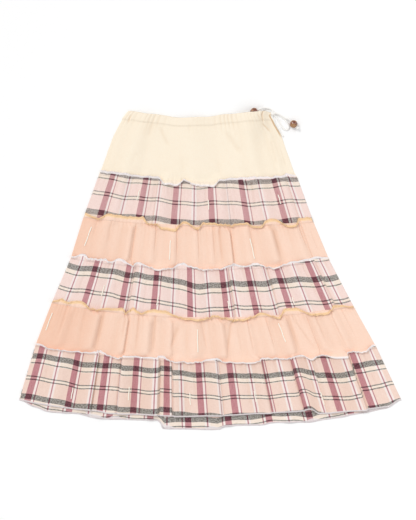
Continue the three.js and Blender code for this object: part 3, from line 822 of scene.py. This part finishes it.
def tier_columns(tier, count):
    """Places across a tier's front, closer together in its creases and at the feet of its folds."""
    fine = np.linspace(0, 1, 6001)
    spots = [crease.across + crease.drift / 2 for crease in CREASES[tier]]
    spots += [fold_foot(tier, fold) for fold in FOLDS[tier] if fold.tuck]
    crowd = np.ones_like(fine)
    for spot in spots:
        crowd += 2.5 * np.exp(-((fine - spot) * seam_wide(tier) / 0.006) ** 2)
    total = np.concatenate([[0], np.cumsum((crowd[1:] + crowd[:-1]) / 2)])
    return np.interp(np.linspace(0, total[-1], count), total, fine)


def even_rows(count):
    """Places down a tier, closer together at its seams."""
    part = np.linspace(0, 1, count)
    return part - 0.1 * np.sin(2 * math.pi * part)


def cloth_run(grid, rows_down, tier, acrosses):
    """How far each point of a ring lies along its strip and down it, in metres of flat cloth."""
    whole = np.concatenate([grid, grid[:, :1]], axis=1)
    steps = np.linalg.norm(np.diff(whole, axis=1), axis=2)
    middle = steps[len(steps) // 2 :].mean(axis=0)
    along = np.concatenate([[0], np.cumsum(middle)])
    tuck, slip = (
        np.concatenate([part, np.full(len(along) - len(part), part[-1])])
        for part in hidden_cloth(tier, acrosses)
    )
    along = along * (WIDE_CUT[tier] - tuck[-1]) / along[-1] + tuck
    sway = 0.0020 * np.sin(2 * math.pi * along / 0.17 + tier)
    sway += 0.0010 * np.sin(2 * math.pi * along / 0.065 + 2 * tier)
    sinks = between(WEFT_SINKS.get(tier, {0: 0, 1: 0}), acrosses)
    on_back = len(along) - len(sinks) - 2
    slip = slip - np.concatenate([sinks, sinks[-1:], sinks[-1:], np.zeros(on_back)])
    down = np.array(rows_down)[:, None] * tier_tall(tier) + (slip + sway)[None, :]
    return np.broadcast_to(along, whole.shape[:2]).copy(), down


# Cream gauze: the yoke and its casing. It is a fine plain weave, crinkled by washing, so it has a
# matt, slightly uneven surface with the threads just showing.
def gauze_relief(finish, along, down):
    """The relief of the weave and of the crinkle, from 0 to 1."""
    thread = 0.0011
    weave = (along * (2 * math.pi / thread)).sine() * (down * (2 * math.pi / thread)).sine()
    crinkle = finish.streaks(along * 2.2, down, 0.006, 3.0, 0.55)
    return weave * 0.10 + crinkle * 0.8, crinkle


def with_painted_shade(finish, colour):
    """The colour with painted shade: darkened towards a warm brown in the creases, between the folds and
    beside the cord, where light comes only from the cloth around.
    """
    painted_shade = finish.cloth_place("painted_shade")[0]
    # Painted shade: the colour is multiplied towards this warm brown as the shade grows.
    return finish.mix(painted_shade, colour, shade(203, 168, 125), how="MULTIPLY")


def gauze_finish(name, ground, deep_dye_and_shade, **plain):
    """Plain gauze with thread lines, a slightly uneven dye and painted shade: darker towards the skirt's
    left side, and in its hollows.
    """
    finish = Finish(name, Roughness=0.92, Sheen_Weight=0.25, Sheen_Roughness=0.6, **plain)
    along, down = finish.cloth_place()
    relief, crinkle = gauze_relief(finish, along, down)
    slubs = finish.streaks(along, down * 14, 0.012).ease(0.35, 0.75)
    threads = finish.streaks(along * 16, down, 0.014).ease(0.35, 0.75)
    uneven = finish.noise(finish.place(), 0.09, 2.0)
    # Painted shade: the cloth grows darker and warmer towards the skirt's left side, as if less light fell
    # there.
    left = 1 - finish.node("ShaderNodeSeparateXYZ", {}, finish.place()).ease(-0.36, -0.16)
    part = slubs * 0.18 + threads * 0.18 + crinkle * 0.18 + uneven * 0.35 + left * 0.50
    finish.colour(with_painted_shade(finish, finish.mix(part, ground, deep_dye_and_shade)))
    finish.relief(relief, 0.55, 0.0009)
    return finish


cream_gauze = gauze_finish("cream_gauze", shade(255, 246, 228), shade(251, 231, 205))

BACK_ACROSS = np.linspace(0, 1, 101)
casing_end = CASING / tier_tall(YOKE)
inner_rows = [(d, 1) for d in np.linspace(casing_end, 0.006, 5)]
casing_rows = [(d, 0) for d in np.linspace(0.006, casing_end * 1.25, 16)]
yoke_rows = inner_rows + [(0.0, AT_THE_EDGE)] + casing_rows
yoke_rows += [(d, 0) for d in np.linspace(casing_end * 1.25, 1, 44)[1:]]
yoke_columns = tier_columns(YOKE, 421)
grid = ring_grid(YOKE, yoke_columns, BACK_ACROSS, yoke_rows)
turned_down = [d if not inside else -d for d, inside in yoke_rows]
along, down = cloth_run(grid, turned_down, YOKE, yoke_columns)
mesh = cloth_mesh("yoke", grid, along, down, ring=True)
mark_painted_shade(mesh, YOKE, grid, yoke_columns, [d * (not inside) for d, inside in yoke_rows])
yoke = link("yoke", mesh, cream_gauze.material)
thicken(yoke, CLOTH)
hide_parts("yoke_front", "yoke_back")


# The casing is turned in and held by one row of straight stitches in cream thread, 17 mm below
# the waist's edge; they are drawn across the front.
STITCH, STITCH_GAP = 0.0026, 0.0012


def thread_look(name, fibre, light, dark, rough, sheen):
    """The material of a thread whose fibres, of that size, take the light unevenly."""
    finish = Finish(name, Roughness=rough, Sheen_Weight=sheen)
    finish.colour(finish.mix(finish.noise(finish.place(), fibre), light, dark))
    return finish.material


def thread_piece(name, lines, thick, material, rounding=0):
    """Thin threads as one piece: a curve with a line for each."""
    curve = bpy.data.curves.new(name, "CURVE")
    curve.dimensions = "3D"
    curve.bevel_depth = thick / 2
    curve.bevel_resolution = rounding
    curve.use_fill_caps = True
    for line in lines:
        spline = curve.splines.new("POLY")
        spline.points.add(len(line) - 1)
        spline.points.foreach_set("co", np.c_[line, np.ones(len(line))].ravel())
    return link(name, curve, material)


stitch_lines = []
stitch_step = (STITCH + STITCH_GAP) / seam_wide(0)
for start in np.arange(0.012, 0.985, stitch_step):
    at = np.linspace(start, start + STITCH / seam_wide(0), 4)
    line = front_place(YOKE, at, np.full_like(at, casing_end))
    line[:, 2] += np.array([0.0001, 0.0006, 0.0006, 0.0001])
    stitch_lines.append(line)
cream_thread = thread_look("cream_thread", 0.0006, shade(255, 246, 230), shade(222, 205, 180), 0.75, 0.2)
stitches = thread_piece("casing_stitches", stitch_lines, 0.0005, cream_thread)


# Peach gauze: the third and fifth tiers, the same cloth as the yoke dyed peach.
PEACH, DEEP_PEACH = shade(255, 227, 209), shade(246, 200, 174)
peach_gauze = gauze_finish("peach_gauze", PEACH, DEEP_PEACH)


# Plaid gauze: the second, fourth and sixth tiers, on a pale pink ground. Down the cloth run a broad
# rose band with a fine line beside it, and halfway to the next band a fine line on white. Across it
# run a broad grey band with a fine line on cream beside it, and halfway a pair of fine lines.
# Each stripe has its middle and its width, in millimetres.
REPEAT, REPEAT_DOWN = 0.088, 0.092
STRIPE_EDGE = 0.0004  # over which a stripe's colour fades
ROSE = [(7, 14), (20, 2.4), (53, 3)]
WHITE = [(16.5, 5), (53, 12)]
GREY = [(6, 12), (21.5, 2.6), (52, 2.6), (59, 2.6)]
CREAM = [(18, 12), (55.5, 4.4)]
# Where the repeat starts on each tier, along and down it, the colour of its ground, and how much
# of the dye its stripes have kept
Plaid = namedtuple("Plaid", "along down light dark dye")
PLAIDS = {
    2: Plaid(0.060, 0.0140, shade(250, 228, 220), shade(240, 210, 202), 0.82),
    4: Plaid(0.022, 0.0820, shade(250, 228, 220), shade(240, 210, 202), 0.96),
    6: Plaid(0.078, 0.0760, shade(247, 221, 208), shade(235, 204, 189), 1.0),
}


def stripes(place, rows, repeat):
    """1 on any of a row of stripes, which repeat along the cloth."""
    step = place % repeat
    return sum(step.stripe(middle / 1000, wide / 1000, STRIPE_EDGE) for middle, wide in rows)


def plaid_colour(finish, along, down, plaid):
    """The colour of the plaid at a place on the cloth."""
    wobble = finish.noise(finish.place(), 0.035, 2.0) * 0.0012
    along_here = along + wobble + plaid.along
    down_here = down + wobble + plaid.down
    rose, white = (stripes(along_here, rows, REPEAT) for rows in (ROSE, WHITE))
    grey, cream = (stripes(down_here, rows, REPEAT_DOWN) for rows in (GREY, CREAM))
    threads = finish.streaks(along * 14, down, 0.014).ease(0.3, 0.75)
    slubs = finish.streaks(along, down * 7, 0.007).ease(0.3, 0.72)
    flecks = finish.streaks(along, down * 1.7, 0.0036, 2.0, 0.6).ease(0.42, 0.58)
    colour = finish.mix(threads * 0.5 + slubs * 0.5, plaid.light, plaid.dark)
    pale = finish.mix(slubs, shade(251, 238, 224), shade(240, 222, 206))
    colour = finish.mix(cream * 0.9, colour, pale)
    paler = finish.mix(threads, shade(249, 240, 236), shade(239, 225, 221))
    colour = finish.mix(white * 0.85, colour, paler)
    red = rose * (0.78 + threads * 0.14 + flecks * 0.08) * plaid.dye
    colour = finish.mix(red, colour, shade(185, 116, 126))
    charcoal = finish.mix(flecks, shade(84, 84, 80), shade(160, 160, 154))
    colour = finish.mix(grey * (0.9 * plaid.dye), colour, charcoal)
    return finish.mix(rose * grey * 0.94, colour, finish.mix(flecks, shade(78, 26, 42), shade(112, 50, 64)))


def plaid_finish(name, plaid):
    finish = Finish(name, Roughness=0.92, Sheen_Weight=0.2, Sheen_Roughness=0.6)
    along, down = finish.cloth_place()
    finish.colour(with_painted_shade(finish, plaid_colour(finish, along, down, plaid)))
    finish.relief(gauze_relief(finish, along, down)[0], 0.55, 0.0009)
    return finish


plaid_gauze = {tier: plaid_finish(f"plaid_gauze_{tier}", PLAIDS[tier]) for tier in PLAIDS}
Ring = namedtuple("Ring", "piece columns rows front_run front_slip")
rings = {}
for tier in range(2, HEM + 1):
    finish = plaid_gauze.get(tier, peach_gauze)
    columns = tier_columns(tier, 521)
    rows = even_rows(34)
    grid = ring_grid(tier, columns, BACK_ACROSS, [(down, 0) for down in rows])
    along, down = cloth_run(grid, rows, tier, columns)
    mesh = cloth_mesh(f"tier_{tier}", grid, along, down, ring=True)
    mark_painted_shade(mesh, tier, grid, columns, rows)
    ring = link(f"tier_{tier}", mesh, finish.material)
    thicken(ring, CLOTH)
    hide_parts(f"tier_{tier}_front", f"tier_{tier}_back")
    front = slice(0, len(columns))
    rings[tier] = Ring(ring, columns, rows, along[0, front], down[0, front])


# At each seam the raw edges stand outside as a wavy heading about 9 mm tall, overlocked along its
# free edge. In places it stands up towards the waist, in others it has flopped down.
HEADING_TALL = 0.009
STANDS = 0.6  # where it stands, it is curled over to this part of its height
# How far the free edge lies above each seam at places across it, in millimetres, and below 0 where
# it has flopped down
HEADING_WAVES = {
    1: {
        0: 8.5, 0.1: 9, 0.2: 6.5, 0.29: 8, 0.34: -7, 0.39: -9, 0.43: 4, 0.49: -7.5, 0.57: -9,
        0.605: 5, 0.68: 8, 0.78: 9, 0.87: 6.5, 0.93: 7, 0.96: 10, 1: 6.5,
    },
    2: {
        0: 8.5, 0.06: 1, 0.1: 13, 0.2: 11.5, 0.25: 13, 0.285: 0, 0.32: 0, 0.345: -10.5,
        0.395: -12.5, 0.437: 9, 0.495: -7, 0.525: 7, 0.64: 2, 0.71: 6, 0.735: -3, 0.77: -5,
        0.8: 9.5, 0.84: 12, 0.89: -7, 0.915: -6.5, 0.945: 10, 1: 9,
    },
    3: {
        0: 4, 0.045: 13, 0.07: 5.5, 0.13: 8, 0.15: 4, 0.185: 12.5, 0.23: 0, 0.255: 8, 0.34: -4.5,
        0.39: 1, 0.43: 13, 0.46: 6, 0.51: -1, 0.56: 0, 0.63: 10.5, 0.68: 4, 0.71: 10,
        0.785: -3.5, 0.86: 6.5, 0.965: 11.5, 1: 6.5,
    },
    4: {
        0: 4, 0.025: 10, 0.05: 7, 0.085: 13, 0.14: -1, 0.17: 5, 0.22: 8.5, 0.242: 1.5, 0.267: 12,
        0.295: 3, 0.325: 12, 0.36: 12, 0.45: -4, 0.485: -6, 0.545: 4.5, 0.595: -7, 0.63: -6,
        0.7: 7, 0.745: -6, 0.785: 13, 0.82: 11, 0.86: -6, 0.9: -9, 0.94: 8, 1: 1,
    },
    5: {
        0: 6, 0.05: 0, 0.15: 3, 0.18: 10, 0.24: -2, 0.27: 5.5, 0.335: 5, 0.37: 10, 0.4: -1,
        0.46: -2.5, 0.525: 8, 0.56: -1.5, 0.62: -4, 0.665: 5, 0.75: 1, 0.785: 5, 0.81: -7,
        0.84: 1.5, 0.885: -9.5, 0.93: 1.5, 0.956: -4.5, 1: 7.5,
    },
}
PALE_BAND, BUFF_BAND = 0.0034, 0.0046  # widths of the overlocking
BITE = 0.0017  # from one of its stitches to the next
LOOP_THICK = 0.0008  # its thread
ROOT, SUNK = 0.2, 0.0018  # the heading's foot: part of its height, and how far it runs past the seam
FLARE = 0.0012  # how far its edge curls outwards


def heading_grid(seam, across, out):
    """The heading's middle: out is a place from 0 at the seam to 1 at the free edge, and below 0
    on the foot, which runs into the tier that it grows from."""
    along = across * seam_wide(seam)
    up = between(HEADING_WAVES[seam], across)
    zigzag = np.abs((along / 0.0135 + 0.35 * np.sin(along * 53 + seam)) % 1 - 0.5) * 4 - 1
    up = up + 0.0009 * zigzag * (0.5 + 0.5 * np.sin(along * 31 + 2 * seam))
    up = up + 0.0007 * np.sin(along * 231 + seam)
    long = np.maximum(HEADING_TALL, np.abs(up))
    rise = STANDS * np.sqrt(np.maximum(long**2 - up**2, 0))
    foot = np.clip(-out / ROOT, 0, 1)
    out = np.clip(out, 0, None)
    reach = up * out**1.4 + FLARE * np.clip(up / 0.002, -1, 1) * out**3
    reach = reach - SUNK * np.clip(up / 0.002, -1, 1) * foot
    above = front_place(seam, across, 1 - np.maximum(reach, 0) / tier_tall(seam))
    below = front_place(seam + 1, across, np.maximum(-reach, 0) / tier_tall(seam + 1))
    surface = np.where((reach > 0)[..., None], above, below)
    curl = np.sin(math.pi * out) * 0.0006 + out**2 * 0.0005 * (1 + np.sin(along * 310))
    seat = mix(CLOTH * 1.6, -CLOTH / 2, foot)
    surface[..., 2] += seat + curl + rise * (1 - (1 - out) ** 2)
    return surface


OUT = np.concatenate([[-ROOT, -ROOT / 2], np.linspace(0, 1, 7)])
HEADING_ACROSS = np.linspace(0, 1, 561)


def heading_finish(name, cloth_colour, thread, wide=PALE_BAND):
    """The tier's own cloth, with thread laid over it near the free edge."""
    finish = Finish(name, Roughness=0.92, Sheen_Weight=0.2, Sheen_Roughness=0.6)
    along, down = finish.cloth_place()
    to_edge = finish.cloth_place("edge")[1]
    band = 1 - to_edge.ease(wide - 0.0008, wide + 0.0002)
    loops = ((along * (2 * math.pi / BITE)).sine() * 0.5 + 0.5) * band
    cloth = cloth_colour(finish, along, down)
    finish.colour(finish.mix(band * 0.74 + loops * 0.18, cloth, thread))
    finish.relief(gauze_relief(finish, along, down)[0] + loops * 0.5, 0.5, 0.0008)
    return finish


def plain_colour(light, dark):
    def colour(finish, along, down):
        return finish.mix(gauze_relief(finish, along, down)[1] * 0.8, light, dark)

    return colour


def plaid_at(tier):
    return lambda finish, along, down: plaid_colour(finish, along, down, PLAIDS[tier])


PALE_THREAD = shade(255, 248, 248)
BUFF_THREAD = shade(255, 219, 172)
plain_peach = plain_colour(PEACH, DEEP_PEACH)
buff_heading = heading_finish("peach_heading", plain_peach, BUFF_THREAD, BUFF_BAND)
peach_wrong_side = heading_finish("peach_heading_inside", plain_peach, PALE_THREAD)
cream_wrong_side = heading_finish(
    "cream_heading_inside", plain_colour(shade(252, 240, 222), shade(245, 226, 204)), PALE_THREAD
)
# The side that shows where a heading stands up, and the one that shows where it has flopped down
heading_sides = {2: (buff_heading, buff_heading), 4: (buff_heading, buff_heading)}
for seam, wrong_side in ((1, cream_wrong_side), (3, peach_wrong_side), (5, peach_wrong_side)):
    right_side = heading_finish(f"plaid_heading_{seam}", plaid_at(seam + 1), PALE_THREAD)
    heading_sides[seam] = (right_side, wrong_side)


def overlock_look(name, light, dark):
    return thread_look(name, 0.0008, light, dark, rough=0.7, sheen=0.3)


pale_thread = overlock_look("pale_overlock_thread", shade(255, 253, 251), shade(252, 240, 240))
buff_thread = overlock_look("buff_overlock_thread", shade(255, 227, 184), shade(250, 209, 157))


def overlocking(edge, inward, normal, wide):
    """The thread that loops over a raw edge: it goes round the edge once for each stitch."""
    thick = (CLOTH + LOOP_THICK) / 2
    run = np.concatenate([[0], np.cumsum(np.linalg.norm(np.diff(edge, axis=0), axis=1))])
    corners = 6
    count = int(run[-1] / BITE) * corners
    at = np.linspace(0, run[-1], count)
    here, into, out = (
        np.stack([np.interp(at, run, part[:, axis]) for axis in range(3)], axis=1)
        for part in (edge, inward, normal)
    )
    turn = np.arange(count) * 2 * math.pi / corners
    across = wide * (0.46 - 0.54 * np.cos(turn))
    return here + across[:, None] * into + (thick * np.sin(turn))[:, None] * out


def unit_rows(vectors):
    return vectors / np.maximum(np.linalg.norm(vectors, axis=1), 1e-9)[:, None]


for seam in range(1, HEM):
    across, out = np.meshgrid(HEADING_ACROSS, OUT[::-1])
    grid = heading_grid(seam, across, out)
    tall = np.maximum(HEADING_TALL, np.abs(between(HEADING_WAVES[seam], HEADING_ACROSS)))
    down = -np.where(out > 0, out * tall[None], out / ROOT * SUNK)
    below = rings[seam + 1]
    along = np.interp(across, below.columns, below.front_run)
    down += np.interp(across, below.columns, below.front_slip)
    name = f"heading_{seam}"
    mesh = cloth_mesh(name, grid, along, down, ring=False)
    mark(mesh, "edge", (1 - out) * tall[None])
    front_side, back_side = heading_sides[seam]
    heading = thicken(link(name, mesh, front_side.material, back_side.material), CLOTH)
    heading.modifiers["cloth"].material_offset = 1
    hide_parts(f"seam_heading_{seam}")
    inward = unit_rows(grid[1] - grid[0])
    normal = unit_rows(np.cross(np.gradient(grid[0], axis=0), -inward))
    wide, look = (PALE_BAND, pale_thread) if seam % 2 else (BUFF_BAND, buff_thread)
    thread = overlocking(grid[0], inward, normal, wide)
    overlock = thread_piece(f"heading_{seam}_overlocking", [thread], LOOP_THICK, look)


# The hem is left raw too, and overlocked all the way round in a greyer thread. On the back it has
# rolled up here and there, so that a broader band of thread shows: the rolls have a middle and a width.
ROLLS = [(0.195, 0.045), (0.25, 0.036), (0.385, 0.04), (0.505, 0.036), (0.77, 0.03), (0.935, 0.06)]
hem_ring = rings[HEM]


def hem_colour(finish, along, down):
    return with_painted_shade(finish, plaid_colour(finish, along, down, PLAIDS[HEM]))


hem_finish = heading_finish("plaid_gauze_at_the_hem", hem_colour, shade(238, 229, 230))
hem_thread = overlock_look("hem_overlock_thread", shade(246, 240, 240), shade(222, 212, 214))
hem_ring.piece.data.materials[0] = hem_finish.material
roll = np.zeros_like(BACK_ACROSS)
for middle, wide in ROLLS:
    roll += ease(1.5 - 3 * np.abs(BACK_ACROSS - middle) * seam_wide(HEM) / wide)
columns = len(hem_ring.piece.data.vertices) // len(hem_ring.rows)
closer = np.ones(columns)
back_start = len(hem_ring.columns) + 3
closer[back_start : back_start + len(BACK_ACROSS)] = (1 / (1 + 1.6 * roll))[::-1]
mark(hem_ring.piece.data, "edge", ((1 - hem_ring.rows) * tier_tall(HEM))[:, None] * closer[None, :])

for name, place in (("front_hem_overlocking", front_place), ("back_hem_overlocking", back_place)):
    across = np.linspace(0, 1, 721)
    edge = place(HEM, across, np.ones_like(across))
    inward = unit_rows(place(HEM, across, np.full_like(across, 0.97)) - edge)
    normal = unit_rows(np.cross(np.gradient(edge, axis=0), inward))
    thread = overlocking(edge, inward, normal, PALE_BAND)
    thread[:, 2] = np.maximum(thread[:, 2], LOOP_THICK / 2)
    piece = thread_piece(name, [thread], LOOP_THICK, hem_thread)


# Here and there a thick white slub thread lies on the gauze, loose for a few centimetres.
Slub = namedtuple("Slub", "tier across top bottom drift")
SLUBS = [
    (2, 0.214, 0.25, 0.48, -0.002), (2, 0.548, 0.4, 0.62, 0), (2, 0.884, 0.33, 0.54, 0),
    (3, 0.043, 0.2, 0.66, -0.006), (3, 0.375, 0.35, 0.8, 0), (3, 0.715, 0.3, 0.78, 0.003),
    (4, 0.151, 0.46, 0.69, 0), (4, 0.347, 0.58, 0.77, -0.003), (4, 0.579, 0.65, 0.81, 0),
    (4, 0.815, 0.65, 0.81, 0), (5, 0.012, 0.22, 0.62, 0), (5, 0.48, 0.26, 0.78, -0.002),
    (5, 0.739, 0.17, 0.6, 0.003), (6, 0.13, 0.62, 0.82, 0), (6, 0.288, 0.5, 0.74, 0),
    (6, 0.449, 0.56, 0.78, 0), (6, 0.622, 0.56, 0.77, 0), (6, 0.806, 0.62, 0.84, 0),
]
SLUB_THICK = 0.0024
white_slub = thread_look("white_slub", 0.0012, shade(255, 252, 240), shade(255, 248, 234), 0.85, 0.6)
slub_lines = []
for slub in map(Slub._make, SLUBS):
    part = np.linspace(0, 1, 24)
    at = slub.across + slub.drift * part
    line = front_place(slub.tier, at, mix(slub.top, slub.bottom, part))
    line[:, 0] += 0.0003 * np.sin(part * 9 + slub.across * 40)
    line[:, 2] += (CLOTH + SLUB_THICK) / 2
    slub_lines.append(line)
slubs = thread_piece("slub_threads", slub_lines, SLUB_THICK, white_slub, rounding=2)


# A white table lit by broad soft lights, the main one from above and to the left.
TABLE = 6.0
table_mesh = bpy.data.meshes.new("table")
half = TABLE / 2
table_mesh.from_pydata(
    [(-half, -half, 0), (half, -half, 0), (half, half, 0), (-half, half, 0)], [], [(0, 1, 2, 3)]
)
table_finish = Finish("white_table", Base_Color=shade(255, 255, 255), Roughness=0.9)
table_mesh.materials.append(table_finish.material)
table = bpy.data.objects.new("table", table_mesh)
table.location.z = -0.0002
bpy.context.collection.objects.link(table)


def hang_light(name, kind, at, **settings):
    """A light at a place, that shines on the middle of the cloth."""
    light = bpy.data.lights.new(name, kind)
    for setting, value in settings.items():
        setattr(light, setting, value)
    lamp = bpy.data.objects.new(name, light)
    lamp.location = at
    lamp.rotation_euler = (0, math.atan2(math.hypot(*at[:2]), at[2]), math.atan2(at[1], at[0]))
    bpy.context.collection.objects.link(lamp)


hang_light("main_light", "SUN", (-1.0, 1.0, 2.0), energy=1.1, angle=math.radians(18))
hang_light("fill_light", "AREA", (1.6, -0.4, 1.6), energy=5, size=1.5)

sky = bpy.data.worlds.new("studio")
sky.use_nodes = True
sky_inputs = sky.node_tree.nodes["Background"].inputs
sky_inputs["Color"].default_value = (1, 1, 1, 1)
sky_inputs["Strength"].default_value = 0.68
bpy.context.scene.world = sky
bpy.context.scene.view_settings.view_transform = "Standard"
